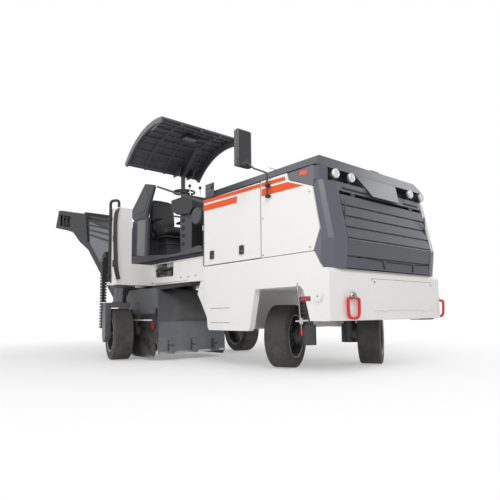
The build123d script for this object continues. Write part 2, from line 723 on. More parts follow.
# Mirrors on bent arms that turn in a bracket on the side panel
mirror_x = front_x + 70.0
mirror_out = body_half + 32.0
mirror_rod_r = 11.0
mirror_low_z = 2040.0
mirror_lug_t = 30.0
mirror_w = 230.0
mirror_h = 450.0
mirror_head_z = 2440.0
for name, side in (("mirror_right", -1.0), ("mirror_left", 1.0)):
    with BuildPart() as mirror_arm:
        with BuildLine() as route:
            FilletPolyline(
                (mirror_x, mid_y + side * mirror_out, mirror_low_z),
                (mirror_x, mid_y + side * mirror_out, mirror_low_z + 310.0),
                (mirror_x - 110.0, mid_y + side * (mirror_out + 110.0), mirror_low_z + 370.0),
                (mirror_x - 190.0, mid_y + side * (mirror_out + 170.0), mirror_head_z + 60.0),
                radius=28.0,
            )
        with BuildSketch(Plane(origin=route.line @ 0, z_dir=route.line % 0)):
            Circle(mirror_rod_r)
        sweep(path=route.line)
        with BuildSketch(Plane.XY.offset(mirror_head_z)):
            with Locations((mirror_x - 215.0, mid_y + side * (mirror_out + 190.0))):
                RectangleRounded(90.0, mirror_w, 30.0)
        extrude(amount=mirror_h)
        chamfer(mirror_arm.edges().group_by(Axis.Z)[-1], 18.0)
    mirror_arm.part.label = name
    export_step(mirror_arm.part, "parts/" + name + ".step")

with BuildPart() as mirror_brackets:
    for side in (-1.0, 1.0):
        for z in (mirror_low_z + 10.0, mirror_low_z + 140.0):
            with BuildSketch(Plane.XY.offset(z)):
                with Locations((mirror_x, mid_y + side * (body_half + seat_gap))):
                    Rectangle(54.0, 56.0, align=(Align.CENTER, Align.CENTER))
                    Rectangle(56.0, 58.0, align=(Align.CENTER, Align.MAX if side > 0 else Align.MIN), mode=Mode.SUBTRACT)
                with Locations((mirror_x, mid_y + side * mirror_out)):
                    Circle(27.0)
                    Circle(mirror_rod_r + run_gap, mode=Mode.SUBTRACT)
            extrude(amount=mirror_lug_t)
mirror_brackets.part.label = "mirror_brackets"
export_step(mirror_brackets.part, "parts/mirror_brackets.step")

# Front legs: round column in its rings, hub carrier and spindle
ring_count = 5
ring_t = 24.0
ring_pitch = 44.0
hub_r = 105.0
front_leg_table = (
    ("front_leg_right", -1.0, steer_right),
    ("front_leg_left", 1.0, steer_left),
)
for name, side, steer in front_leg_table:
    kingpin = Vector(front_x, mid_y + side * kingpin_y, 0)
    outward = Vector(side * sin(radians(steer)), side * cos(radians(steer)), 0)
    carrier = Plane(origin=kingpin + Vector(0, 0, tyre_r), x_dir=(0, 0, 1), z_dir=outward)
    with BuildPart() as front_leg:
        with BuildSketch(Plane.XY.offset(tyre_r - hub_r - 5.0)):
            with Locations((kingpin.X, kingpin.Y)):
                Circle(leg_r)
        extrude(amount=sill_z - 100.0 - tyre_r + hub_r + 5.0)
        for k in range(ring_count):
            with BuildSketch(Plane.XY.offset(arch_top_z - 95.0 - move_gap - ring_t - ring_pitch * k)):
                with Locations((kingpin.X, kingpin.Y)):
                    Circle(leg_r + 28.0)
            extrude(amount=ring_t)
        with BuildSketch(Plane.XY.offset(tyre_r - hub_r - 5.0)):
            with Locations((kingpin.X, kingpin.Y)):
                Circle(leg_r + 32.0)
        extrude(amount=2 * hub_r + 40.0)
        with BuildSketch(carrier):
            Circle(hub_bore_r)
        extrude(amount=wheel_arm + 90.0)
        with BuildSketch(carrier):
            Circle(hub_r)
        extrude(amount=wheel_arm - tyre_w / 2 - 12.0)
    front_leg.part.label = name
    export_step(front_leg.part, "parts/" + name + ".step")

# Rear legs: round column, crown, outer arm with its wheel motor and stub shaft
crown_t = 75.0
crown_gap = 15.0
arm_t = 85.0
rear_leg_table = (
    ("rear_leg_right", -1.0, rear_right_y, steer_rear_right, column_top_z - 100.0 - lift_stroke),
    ("rear_leg_left", 1.0, rear_left_y, steer_rear_left, deck_top_z - 10.0),
)
for name, side, wheel_y, steer, leg_top_z in rear_leg_table:
    axis = Vector(rear_x, mid_y + wheel_y, 0)
    outward = Vector(side * sin(radians(steer)), side * cos(radians(steer)), 0)
    along = Vector(cos(radians(steer)), -sin(radians(steer)), 0)
    hub = Plane(origin=axis + Vector(0, 0, tyre_r), x_dir=along, z_dir=outward)
    crown = Plane(origin=axis + Vector(0, 0, 2 * tyre_r + crown_gap), x_dir=along, z_dir=(0, 0, 1))
    arm_width = tyre_w / 2 + crown_gap + arm_t
    with BuildPart() as rear_leg:
        with BuildSketch(Plane.XY.offset(2 * tyre_r + crown_gap + 10.0)):
            with Locations((axis.X, axis.Y)):
                Circle(rear_leg_r)
        extrude(amount=leg_top_z - 2 * tyre_r - crown_gap - 10.0)
        with BuildSketch(crown):
            with Locations((0.0, side * (arm_width - tyre_w / 2) / 2)):
                RectangleRounded(250.0, arm_width + tyre_w / 2, 20.0)
        extrude(amount=crown_t)
        with BuildSketch(hub.offset(tyre_w / 2 + crown_gap)):
            Circle(125.0)
            with Locations((0.0, -side * (tyre_r + crown_gap + 10.0) / 2)):
                Rectangle(250.0, tyre_r + crown_gap + 10.0)
        extrude(amount=arm_t)
        with BuildSketch(hub.offset(-rim_t - 24.0)):
            Circle(hub_bore_r)
        extrude(amount=tyre_w / 2 + crown_gap + rim_t + 44.0)
    rear_leg.part.label = name
    export_step(rear_leg.part, "parts/" + name + ".step")

# Wheels: solid tyre and dished rim, each set on its leg's shaft
disc_t = 30.0
hub_ring_r = 130.0
wheel_table = (
    ("front_right", -1.0, front_x, -kingpin_y, wheel_arm, steer_right),
    ("front_left", 1.0, front_x, kingpin_y, wheel_arm, steer_left),
    ("rear_right", -1.0, rear_x, rear_right_y, 0.0, steer_rear_right),
    ("rear_left", 1.0, rear_x, rear_left_y, 0.0, steer_rear_left),
)
for name, side, x, y, arm, steer in wheel_table:
    outward = Vector(side * sin(radians(steer)), side * cos(radians(steer)), 0)
    centre = Vector(x, mid_y + y, tyre_r) + outward * arm
    face = Plane(origin=centre, x_dir=(0, 0, 1), z_dir=outward)
    with BuildPart() as tyre:
        with BuildSketch(face.offset(-tyre_w / 2)):
            Circle(tyre_r)
            Circle(rim_r, mode=Mode.SUBTRACT)
        extrude(amount=tyre_w)
        chamfer(tyre.edges().filter_by(GeomType.CIRCLE).sort_by(SortBy.RADIUS)[-2:], 12.0)
    tyre.part.label = "tyre_" + name
    export_step(tyre.part, "parts/tyre_" + name + ".step")
    with BuildPart() as rim:
        with BuildSketch(face.offset(-tyre_w / 2 + 5.0)):
            Circle(rim_r)
            Circle(rim_r - rim_t, mode=Mode.SUBTRACT)
        extrude(amount=tyre_w - 10.0)
        with BuildSketch(face.offset(-disc_t / 2 if arm else -disc_t)):
            Circle(rim_r - rim_t + 1.0)
            Circle(hub_bore_r + run_gap, mode=Mode.SUBTRACT)
        extrude(amount=disc_t)
        with BuildSketch(face.offset(-disc_t)):
            Circle(hub_ring_r)
            Circle(hub_bore_r + run_gap, mode=Mode.SUBTRACT)
        extrude(amount=100.0)
    rim.part.label = "rim_" + name
    export_step(rim.part, "parts/rim_" + name + ".step")

# Housing over the milling drum, open below and through to the conveyor behind
drum_shaft_r = 70.0
shield_t = 20.0
shield_low_z = 100.0
shield_top_z = 580.0
knuckle_z = 820.0  # where the front plate bends back
mouth_w = 620.0
mouth_low_z = 310.0
mouth_top_z = 810.0
scraper_axis_z = 850.0
scraper_axis_x = housing_rear_x - 45.0
scraper_pin_r = 14.0
scraper_lug_t = 30.0
chute_half = 190.0
with BuildPart() as drum_housing:
    with BuildSketch(Plane.XZ.offset(-mid_y - housing_left_y - wall_t)):
        with BuildLine():
            Line((housing_front_x - 15.0, housing_low_z), (housing_front_x + 50.0, drum_z + 25.0))
            ThreePointArc(
                (housing_front_x + 50.0, drum_z + 25.0),
                (housing_front_x + 38.0, knuckle_z),
                (housing_front_x - 14.0, housing_top_z - 24.0),
            )
            Polyline(
                (housing_front_x - 14.0, housing_top_z - 24.0),
                (housing_front_x - 40.0, housing_top_z),
                (housing_rear_x + 240.0, housing_top_z),
                (housing_rear_x, housing_top_z - 230.0),
                (housing_rear_x, housing_low_z),
                (housing_front_x - 15.0, housing_low_z),
            )
        make_face()
    extrude(amount=housing_left_y - housing_right_y + 2 * wall_t)
    with BuildSketch(Plane.XZ.offset(-mid_y - housing_left_y)):
        with BuildLine():
            Line((housing_front_x + 120.0, housing_low_z - 1.0), (housing_front_x + 120.0, housing_top_z + 1.0))
            Line((housing_front_x + 120.0, housing_top_z + 1.0), (housing_front_x - 250.0, housing_top_z + 1.0))
            ThreePointArc(
                (housing_front_x - 250.0, housing_top_z + 1.0),
                (housing_front_x - 80.0, knuckle_z + 130.0),
                (housing_front_x + 6.0, drum_z + 130.0),
            )
            Line((housing_front_x + 6.0, drum_z + 130.0), (housing_front_x + 6.0, housing_low_z - 1.0))
            Line((housing_front_x + 6.0, housing_low_z - 1.0), (housing_front_x + 120.0, housing_low_z - 1.0))
        make_face()
    extrude(amount=housing_left_y - housing_right_y, mode=Mode.SUBTRACT)
    with BuildSketch(Plane.XZ.offset(-mid_y - housing_left_y)):
        with BuildLine():
            Line((housing_front_x - wall_t + 6.0, housing_low_z - 1.0), (housing_front_x - wall_t + 6.0, drum_z + 128.0))
            ThreePointArc(
                (housing_front_x - wall_t + 6.0, drum_z + 128.0),
                (housing_front_x - wall_t - 80.0, knuckle_z + 120.0),
                (housing_front_x - wall_t - 245.0, housing_top_z - wall_t),
            )
            Polyline(
                (housing_front_x - wall_t - 245.0, housing_top_z - wall_t),
                (housing_rear_x + 248.0, housing_top_z - wall_t),
                (housing_rear_x + wall_t, housing_top_z - 240.0),
                (housing_rear_x + wall_t, housing_low_z - 1.0),
                (housing_front_x - wall_t + 6.0, housing_low_z - 1.0),
            )
        make_face()
    extrude(amount=housing_left_y - housing_right_y, mode=Mode.SUBTRACT)
    with BuildSketch(Plane.YZ.offset(housing_rear_x - 10.0)):
        with Locations((conv_y, mouth_low_z)):
            Rectangle(mouth_w, mouth_top_z - mouth_low_z, align=(Align.CENTER, Align.MIN))
    extrude(amount=60.0, mode=Mode.SUBTRACT)
    with BuildSketch(Plane.XZ.offset(-mid_y - housing_left_y - 3 * wall_t)):
        with Locations((drum_x, drum_z)):
            Circle(drum_shaft_r + run_gap)
    extrude(amount=housing_left_y - housing_right_y + 6 * wall_t, mode=Mode.SUBTRACT)
    with BuildSketch(Plane.XY.offset(housing_top_z)):
        with Locations((drum_x, conv_y + 250.0), (drum_x, conv_y - 150.0)):
            Rectangle(600.0, 60.0)
    extrude(amount=deck_bottom_z - housing_top_z)
    for y in (housing_right_y - wall_t, housing_left_y + wall_t - scraper_lug_t):
        with BuildSketch(Plane.XZ.offset(-mid_y - y - scraper_lug_t)):
            with BuildLine():
                Polyline(
                    (scraper_axis_x - 24.0, scraper_axis_z - 24.0),
                    (housing_rear_x + 10.0, scraper_axis_z - 80.0),
                    (housing_rear_x + 10.0, scraper_axis_z - 2.0),
                    (scraper_axis_x - 24.0, scraper_axis_z + 24.0),
                    close=True,
                )
            make_face()
            with Locations((scraper_axis_x, scraper_axis_z)):
                Circle(scraper_pin_r + 12.0)
                Circle(scraper_pin_r + run_gap, mode=Mode.SUBTRACT)
        extrude(amount=scraper_lug_t)
drum_housing.part.label = "drum_housing"
export_step(drum_housing.part, "parts/drum_housing.step")

# Milling drum with its tools set in a spiral
tool_rows = 20
tools_per_row = 4
tool_turn = 13.0  # from one row to the next
with BuildPart() as milling_drum:
    with BuildSketch(Plane.XZ.offset(-mid_y - drum_left_y)):
        with Locations((drum_x, drum_z)):
            Circle(drum_r)
    extrude(amount=drum_left_y - drum_right_y)
    with BuildSketch(Plane.XZ.offset(-mid_y - drum_left_y - 2 * wall_t)):
        with Locations((drum_x, drum_z)):
            Circle(drum_shaft_r)
    extrude(amount=drum_left_y - drum_right_y + 4 * wall_t)
    for row in range(tool_rows):
        for arm in range(tools_per_row):
            turn = radians(360.0 / tools_per_row * arm + tool_turn * row)
            y = drum_right_y + (row + 0.5) * (drum_left_y - drum_right_y) / tool_rows
            spoke = Vector(cos(turn), 0, sin(turn))
            foot = Vector(drum_x, mid_y + y, drum_z) + spoke * (drum_r - 8.0)
            with BuildSketch(Plane(origin=foot, x_dir=(0, 1, 0), z_dir=spoke)):
                Rectangle(40.0, 56.0)
    extrude(amount=tool_length + 8.0, taper=9.0)
milling_drum.part.label = "milling_drum"
export_step(milling_drum.part, "parts/milling_drum.step")

# Side plates that slide up and down on the housing's ends
plate_t = 18.0
plate_low_z = 40.0
plate_top_z = 700.0
plate_front_x = housing_front_x - 20.0
plate_rear_x = housing_rear_x + 350.0
slot_w = 180.0
plate_stroke = 150.0
plate_table = (
    ("side_plate_right", -1.0, housing_right_y - wall_t),
    ("side_plate_left", 1.0, housing_left_y + wall_t),
)
for name, side, face_y in plate_table:
    inner_y = mid_y + face_y + side * seat_gap
    with BuildPart() as side_plate:
        with BuildSketch(Plane.XZ.offset(-inner_y - (plate_t if side > 0 else 0.0))):
            with BuildLine():
                Polyline(
                    (plate_front_x, plate_low_z + 60.0),
                    (plate_front_x - 60.0, plate_low_z),
                    (plate_rear_x + 70.0, plate_low_z),
                    (plate_rear_x, plate_low_z + 60.0),
                    (plate_rear_x, plate_top_z),
                    (plate_front_x, plate_top_z),
                    close=True,
                )
            make_face()
            with Locations((drum_x, drum_z + 55.0)):
                SlotOverall(slot_w + 2 * plate_stroke + 10.0, slot_w, rotation=90.0, mode=Mode.SUBTRACT)
        extrude(amount=plate_t)
    side_plate.part.label = name
    export_step(side_plate.part, "parts/" + name + ".step")

# Guide bars that hold the side plates on the housing
with BuildPart() as plate_guides:
    for face_y, side in ((housing_right_y - wall_t, -1.0), (housing_left_y + wall_t, 1.0)):
        for x in (plate_front_x + 24.0, plate_rear_x - 24.0):
            with BuildSketch(Plane.XY.offset(housing_low_z + 30.0)):
                with Locations((x, mid_y + face_y + side * (plate_t + 4.0) / 2)):
                    Rectangle(36.0, plate_t + 4.0)
            extrude(amount=420.0)
plate_guides.part.label = "plate_guides"
export_step(plate_guides.part, "parts/plate_guides.step")

# Front shield: the lower front plate with its hooks, which slides up the housing's face
hook_w = 70.0
shield_face_x = housing_front_x + 6.0 + seat_gap
with BuildPart() as front_shield:
    with BuildSketch(Plane.XZ.offset(-mid_y - housing_left_y + move_gap)):
        with BuildLine():
            Polyline(
                (shield_face_x, shield_low_z),
                (shield_face_x + shield_t, shield_low_z),
                (shield_face_x + shield_t, shield_top_z),
                (shield_face_x, shield_top_z),
                close=True,
            )
        make_face()
    extrude(amount=housing_left_y - housing_right_y - 2 * move_gap)
    for share in (1, 3, 5):
        y = housing_right_y + share * (housing_left_y - housing_right_y) / 6
        with BuildSketch(Plane.XZ.offset(-mid_y - y - hook_w / 2)):
            with BuildLine():
                Polyline(
                    (shield_face_x + shield_t - 2.0, shield_low_z + 10.0),
                    (shield_face_x + shield_t + 70.0, shield_low_z),
                    (shield_face_x + shield_t + 90.0, shield_low_z + 40.0),
                    (shield_face_x + shield_t + 45.0, shield_low_z + 90.0),
                    (shield_face_x + shield_t + 30.0, shield_low_z + 190.0),
                    (shield_face_x + shield_t - 2.0, shield_low_z + 210.0),
                    close=True,
                )
            make_face()
        extrude(amount=hook_w)
front_shield.part.label = "front_shield"
export_step(front_shield.part, "parts/front_shield.step")

# Scraper behind the drum, hung from the housing's rear edge
scraper_t = 24.0
scraper_low_z = 60.0
scraper_beam_h = 180.0
scraper_arm_w = 90.0
with BuildPart() as scraper:
    with BuildSketch(Plane.XZ.offset(-mid_y - housing_left_y - wall_t)):
        with Locations((scraper_axis_x, scraper_axis_z)):
            Circle(scraper_pin_r)
    extrude(amount=housing_left_y - housing_right_y + 2 * wall_t)
    for y in (housing_right_y + 20.0, housing_left_y - 20.0 - scraper_arm_w):
        with BuildSketch(Plane.XZ.offset(-mid_y - y - scraper_arm_w)):
            with Locations((scraper_axis_x, scraper_low_z)):
                Rectangle(scraper_t, scraper_axis_z - scraper_low_z, align=(Align.CENTER, Align.MIN))
        extrude(amount=scraper_arm_w)
    with BuildSketch(Plane.XZ.offset(-mid_y - housing_left_y + 20.0)):
        with Locations((scraper_axis_x, scraper_low_z)):
            Rectangle(scraper_t, scraper_beam_h, align=(Align.CENTER, Align.MIN))
    extrude(amount=housing_left_y - housing_right_y - 40.0)
scraper.part.label = "scraper"
export_step(scraper.part, "parts/scraper.step")

# Operator's platform on the deck: floor on its beams, side panels and rear wall
platform_rear_x = deck_rear_x + 10.0
floor_t = 30.0
panel_height = 720.0
side_panel_w = 540.0
with BuildPart() as platform:
    with BuildSketch(Plane.XY.offset(floor_z - floor_t)):
        with Locations((platform_rear_x, mid_y)):
            Rectangle(body_rear_x - platform_rear_x, 2 * body_half, align=(Align.MIN, Align.CENTER))
    extrude(amount=floor_t)
    with BuildSketch(Plane.XY.offset(deck_top_z)):
        with Locations((platform_rear_x, mid_y)):
            Rectangle(body_rear_x - platform_rear_x, 2 * (deck_half - 20.0), align=(Align.MIN, Align.CENTER))
        with Locations(((platform_rear_x + body_rear_x) / 2, mid_y)):
            Rectangle(body_rear_x - platform_rear_x - 300.0, 2 * deck_half - 280.0, mode=Mode.SUBTRACT)
    extrude(amount=floor_z - floor_t - deck_top_z)
    with BuildSketch(Plane.XY.offset(floor_z)):
        with Locations((platform_rear_x, mid_y)):
            Rectangle(panel_t, 2 * body_half, align=(Align.MIN, Align.CENTER))
    extrude(amount=panel_height)
    for side in (-1.0, 1.0):
        with BuildSketch(Plane.XY.offset(floor_z)):
            with Locations((platform_rear_x, mid_y + side * (body_half - panel_t / 2))):
                Rectangle(side_panel_w, panel_t, align=(Align.MIN, Align.CENTER))
        extrude(amount=panel_height)
    with BuildSketch(Plane.XY.offset(floor_z)):
        with Locations((body_rear_x - 240.0, mid_y + body_half - panel_t / 2)):
            Rectangle(panel_t, panel_t, align=(Align.MIN, Align.CENTER))
    extrude(amount=panel_height)
    with BuildSketch(Plane.XZ.offset(-mid_y - body_half)):
        with Locations((platform_rear_x, floor_z + panel_height)):
            Rectangle(body_rear_x - 200.0 - platform_rear_x, panel_t, align=(Align.MIN, Align.MAX))
    extrude(amount=panel_t)
platform.part.label = "platform"
export_step(platform.part, "parts/platform.step")

# Padded guard beside the seat, on the right side panel
guard_t = 60.0
guard_low_z = floor_z + panel_height
guard_rear_x = front_x - 3500.0
with BuildPart() as side_guard:
    with BuildSketch(Plane.XZ.offset(-mid_y + body_half - guard_t)):
        with BuildLine():
            Polyline(
                (guard_rear_x + 100.0, guard_low_z),
                (guard_rear_x + 540.0, guard_low_z),
                (guard_rear_x + 560.0, guard_low_z + 90.0),
                (guard_rear_x + 780.0, guard_low_z + 470.0),
                (guard_rear_x + 770.0, guard_low_z + 510.0),
                (guard_rear_x + 480.0, guard_low_z + 590.0),
                (guard_rear_x, guard_low_z + 200.0),
                (guard_rear_x + 30.0, guard_low_z + 60.0),
                close=True,
            )
        make_face()
    extrude(amount=guard_t)
    chamfer(side_guard.edges().filter_by(Plane.XZ), 14.0)
side_guard.part.label = "side_guard"
export_step(side_guard.part, "parts/side_guard.step")

# Seat on its pedestal
seat_x = front_x - 2860.0
seat_y = mid_y - body_half + 411.0
seat_w = 480.0
seat_h = 400.0
cushion_t = 130.0
with BuildPart() as seat:
    with BuildSketch(Plane.XY.offset(floor_z)):
        with Locations((seat_x, seat_y)):
            Rectangle(300.0, 300.0)
    extrude(amount=seat_h)
    with BuildSketch(Plane.XY.offset(floor_z + seat_h)):
        with Locations((seat_x, seat_y)):
            RectangleRounded(500.0, seat_w, 60.0)
    extrude(amount=cushion_t)
    with BuildSketch(Plane.XZ.offset(-seat_y - seat_w / 2)):
        with BuildLine():
            Polyline(
                (seat_x - 200.0, floor_z + seat_h + 60.0),
                (seat_x - 280.0, floor_z + seat_h + 40.0),
                (seat_x - 370.0, floor_z + seat_h + 700.0),
                (seat_x - 270.0, floor_z + seat_h + 720.0),
                close=True,
            )
        make_face()
    extrude(amount=seat_w)
seat.part.label = "seat"
export_step(seat.part, "parts/seat.step")

# Console with the steering column
console_x = front_x - 2190.0
console_y = mid_y - body_half + 256.0
console_z = floor_z + 640.0
console_h = 250.0
console_w = 350.0
shaft_r = 16.0
wheel_z = 2620.0
with BuildPart() as console:
    with BuildSketch(Plane.XY.offset(floor_z)):
        with Locations((console_x + 220.0, console_y)):
            Rectangle(300.0, 200.0)
    extrude(amount=console_z - floor_z)
    with BuildSketch(Plane.XZ.offset(-console_y - console_w / 2)):
        with BuildLine():
            Polyline(
                (console_x - 100.0, console_z + 90.0),
                (console_x + 60.0, console_z),
                (console_x + 420.0, console_z - 40.0),
                (console_x + 500.0, console_z + 40.0),
                (console_x + 480.0, console_z + 210.0),
                (console_x + 380.0, console_z + console_h),
                (console_x - 100.0, console_z + console_h),
                close=True,
            )
        make_face()
    extrude(amount=console_w)
    with BuildSketch(Plane.XY.offset(console_z + console_h - 60.0)):
        with Locations((console_x, console_y)):
            Circle(45.0)
    extrude(amount=130.0)
    with BuildSketch(Plane.XY.offset(console_z + 100.0)):
        with Locations((console_x, console_y)):
            Circle(shaft_r + run_gap)
    extrude(amount=console_h, mode=Mode.SUBTRACT)
console.part.label = "console"
export_step(console.part, "parts/console.step")

# Steering wheel on its shaft
ring_r = 165.0
ring_bar_r = 15.0
with BuildPart() as steering_wheel:
    with BuildSketch(Plane.XY.offset(console_z + 104.0)):
        with Locations((console_x, console_y)):
            Circle(shaft_r)
    extrude(amount=wheel_z - console_z - 104.0)
    with BuildSketch(Plane(origin=(console_x, console_y, wheel_z), x_dir=(1, 0, 0), z_dir=(0, -1, 0))):
        with Locations((ring_r, 0.0)):
            Circle(ring_bar_r)
    revolve(axis=Axis((console_x, console_y, 0), (0, 0, 1)), revolution_arc=360.0)
    with BuildSketch(Plane.XY.offset(wheel_z - 12.0)):
        with Locations((console_x, console_y)):
            Rectangle(2 * ring_r, 36.0)
            Rectangle(36.0, 2 * ring_r)
            Circle(50.0)
    extrude(amount=20.0)
steering_wheel.part.label = "steering_wheel"
export_step(steering_wheel.part, "parts/steering_wheel.step")

# Gate bar: slopes from the guard down to its upright pin at the engine house
bar_h = 30.0
bar_t = 22.0
bar_run = 1340.0
bar_rise = 500.0
with BuildPart() as gate_bar:
    with BuildSketch(Plane.XZ.offset(-gate_pin_y - bar_t / 2)):
        with BuildLine():
            Polyline(
                (gate_pin_x + 15.0, gate_low_z + 84.0),
                (gate_pin_x + 15.0, gate_low_z + 114.0),
                (gate_pin_x - 20.0, gate_low_z + 124.0),
                (gate_pin_x - bar_run, gate_low_z + 100.0 + bar_rise + bar_h),
                (gate_pin_x - bar_run, gate_low_z + 100.0 + bar_rise),
                (gate_pin_x - 20.0, gate_low_z + 90.0),
                close=True,
            )
        make_face()
    extrude(amount=bar_t)
    with BuildSketch(Plane.XY.offset(gate_low_z)):
        with Locations((gate_pin_x, gate_pin_y)):
            Circle(gate_pin_r)
    extrude(amount=100.0)
gate_bar.part.label = "gate_bar"
export_step(gate_bar.part, "parts/gate_bar.step")

# Mast of the canopy: outer tube on the platform, inner tube under the canopy
mast_x = front_x - 3250.0
mast_y = mid_y - 200.0
mast_r = 40.0
mast_wall = 10.0
mast_top_z = 2700.0
canopy_drop = 250.0
with BuildPart() as mast_tube:
    with BuildSketch(Plane.XY.offset(floor_z)):
        with Locations((mast_x, mast_y)):
            RectangleRounded(180.0, 180.0, 12.0)
    extrude(amount=20.0)
    with BuildSketch(Plane.XY.offset(floor_z)):
        with Locations((mast_x, mast_y)):
            Circle(mast_r + mast_wall)
    extrude(amount=mast_top_z - floor_z)
    with BuildSketch(Plane.XY.offset(floor_z + 20.0)):
        with Locations((mast_x, mast_y)):
            Circle(mast_r + run_gap)
    extrude(amount=mast_top_z - floor_z, mode=Mode.SUBTRACT)
mast_tube.part.label = "mast_tube"
export_step(mast_tube.part, "parts/mast_tube.step")

# Canopy: curved shell with ribs and rims below, low at its rear edge and high at its front
canopy_y = mid_y - body_half - 189.0  # right edge
canopy_w = 1500.0
canopy_t = 30.0
rib_depth = 62.0
bar_w = 36.0
canopy_r = 1351.1
canopy_axis_x = front_x - 2377.3
canopy_axis_z = 2417.9
canopy_rear_turn = 139.5
canopy_arc = 59.6
rim_table = (
    # from the right edge, width, depth below the outer skin
    (0.0, canopy_w, canopy_t),
    (0.0, 36.0, 84.0),
    (canopy_w - 36.0, 36.0, 140.0),
    (360.0, 34.0, rib_depth),
    (740.0, 34.0, rib_depth),
    (1130.0, 34.0, rib_depth),
)
bar_table = (2.5, 16.0, 30.0, 44.0, 56.5)  # turn of each cross bar from the rear edge
with BuildPart() as canopy:
    for start, width, depth in rim_table:
        with BuildSketch(Plane.XZ.offset(-canopy_y - start - width)):
            with BuildLine():
                skin = CenterArc((canopy_axis_x, canopy_axis_z), canopy_r, canopy_rear_turn, -canopy_arc)
                lower = CenterArc((canopy_axis_x, canopy_axis_z), canopy_r - depth, canopy_rear_turn, -canopy_arc)
                Line(skin @ 0, lower @ 0)
                Line(skin @ 1, lower @ 1)
            make_face()
        extrude(amount=width)
    for turn in bar_table:
        angle = radians(canopy_rear_turn - turn)
        outward = Vector(cos(angle), 0, sin(angle))
        root = Vector(canopy_axis_x, canopy_y + canopy_w / 2, canopy_axis_z) + outward * (canopy_r - rib_depth)
        with BuildSketch(Plane(origin=root, x_dir=(0, 1, 0), z_dir=outward)):
            Rectangle(canopy_w - 4.0, bar_w)
        extrude(amount=rib_depth - canopy_t + 15.0)
canopy.part.label = "canopy"
export_step(canopy.part, "parts/canopy.step")

canopy_bracket_z = 3250.0
canopy_mast_low_z = mast_top_z - canopy_drop - 200.0
with BuildPart() as canopy_mast:
    with BuildSketch(Plane.XY.offset(canopy_mast_low_z)):
        with Locations((mast_x, mast_y)):
            Circle(mast_r)
    extrude(amount=canopy_bracket_z + 60.0 - canopy_mast_low_z)
    with BuildSketch(Plane.XZ.offset(-mast_y - mast_r)):
        with BuildLine():
            skin = CenterArc((canopy_axis_x, canopy_axis_z), canopy_r - canopy_t, canopy_rear_turn - 4.0, -canopy_arc / 2)
            Line(skin @ 0, (mast_x - mast_r, canopy_bracket_z))
            Line((mast_x - mast_r, canopy_bracket_z), (mast_x + mast_r, canopy_bracket_z))
            Line((mast_x + mast_r, canopy_bracket_z), skin @ 1)
        make_face()
    extrude(amount=2 * mast_r)
    add(canopy.part, mode=Mode.SUBTRACT)
canopy_mast.part.label = "canopy_mast"
export_step(canopy_mast.part, "parts/canopy_mast.step")

# Slewing bracket of the conveyor: upright pin in the frame's lugs, and a yoke behind it
yoke_gap = 12.0
yoke_t = 40.0
lift_pin_r = 30.0
yoke_reach = 180.0
yoke_top_z = slew_low_z + slew_lug_t + move_gap + slew_hub_h
yoke_low_z = yoke_top_z - 104.0
cylinder_r = 48.0
cylinder_pin_r = 22.0
cylinder_w = 50.0
rod_r = 28.0
eye_play = 6.5  # play of the rod's eye on its pin
cyl_y = conv_y + conv_half + yoke_gap + yoke_t + cylinder_w / 2 + 35.0
foot = Vector(lift_x, cyl_y, yoke_top_z - 74.0)
eye = Vector(lift_x - 900.0, cyl_y, foot.Z + 310.0)
with BuildPart() as slew_bracket:
    with BuildSketch(Plane.XY.offset(slew_low_z)):
        with Locations((slew_x, conv_y)):
            Circle(slew_pin_r)
    extrude(amount=slew_high_z + slew_lug_t - slew_low_z)
    with BuildSketch(Plane.XY.offset(slew_low_z + slew_lug_t + move_gap)):
        with Locations((slew_x, conv_y)):
            Circle(2 * slew_pin_r)
            Rectangle(yoke_reach, 4 * slew_pin_r, align=(Align.MAX, Align.CENTER))
    extrude(amount=slew_hub_h)
    with BuildSketch(Plane.XY.offset(yoke_low_z)):
        with Locations((slew_x - yoke_reach, conv_y)):
            Rectangle(120.0, 2 * (conv_half + yoke_gap + yoke_t))
    extrude(amount=yoke_top_z - yoke_low_z)
    for side in (-1.0, 1.0):
        with BuildSketch(Plane.XZ.offset(-conv_y - side * (conv_half + yoke_gap + yoke_t / 2) - yoke_t / 2)):
            with BuildLine():
                Polyline(
                    (lift_x - 60.0, yoke_top_z),
                    (lift_x + 60.0, yoke_top_z),
                    (lift_x + 60.0, lift_z - 70.0),
                    (lift_x - 70.0, lift_z - 70.0),
                    (lift_x - 70.0, lift_z + 40.0),
                    close=True,
                )
            make_face()
            with Locations((lift_x, lift_z)):
                Circle(lift_pin_r + run_gap, mode=Mode.SUBTRACT)
        extrude(amount=yoke_t)
    with BuildSketch(Plane.XZ.offset(-cyl_y - cylinder_w / 2 - 5.0)):
        with Locations((foot.X, foot.Z)):
            Circle(cylinder_pin_r)
    extrude(amount=5.0 + cylinder_w + 36.0)
slew_bracket.part.label = "slew_bracket"
export_step(slew_bracket.part, "parts/slew_bracket.step")

